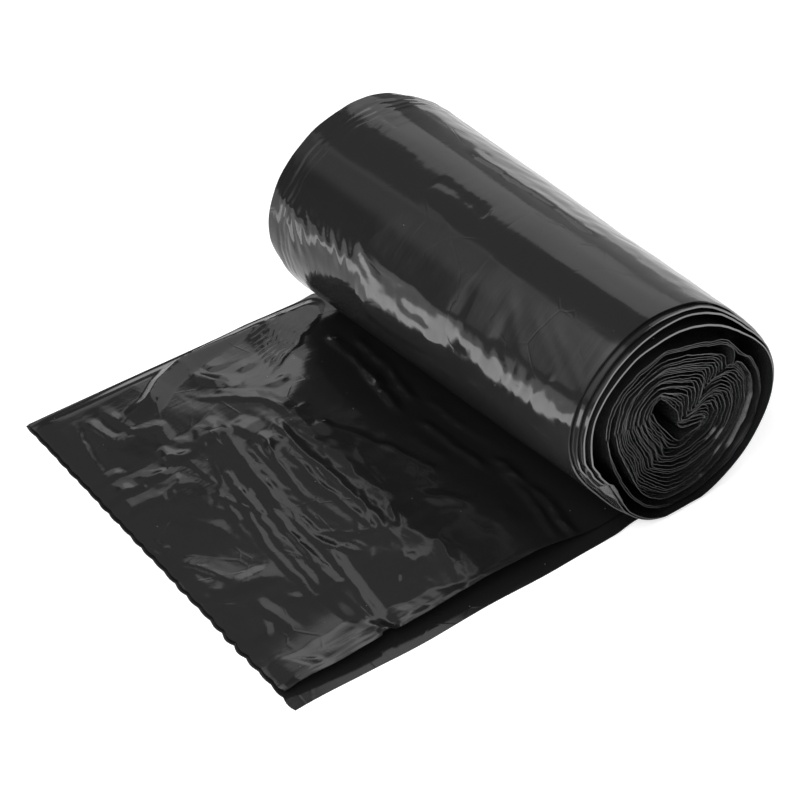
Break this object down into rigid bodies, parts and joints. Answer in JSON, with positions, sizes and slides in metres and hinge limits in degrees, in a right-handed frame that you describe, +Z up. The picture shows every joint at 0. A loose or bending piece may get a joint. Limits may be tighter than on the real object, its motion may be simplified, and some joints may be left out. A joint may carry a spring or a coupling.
{
  "type": "bin bag roll",
  "caption": "Coreless roll of perforated refuse sacks lying on its side, with the folded free end drawn out flat along the floor.",
  "frame": {"origin": "on the floor, under the middle of the whole object's box", "axes": "+Y along the roll, away from the end that is seen; -X towards the torn free end; +Z up"},
  "size_m": [0.2444, 0.2158, 0.1111],
  "materials": {
    "film": "glossy black low-density polyethylene film"
  },
  "bodies": {
    "root": {"bag_roll": "film"}
  },
  "joints": []
}
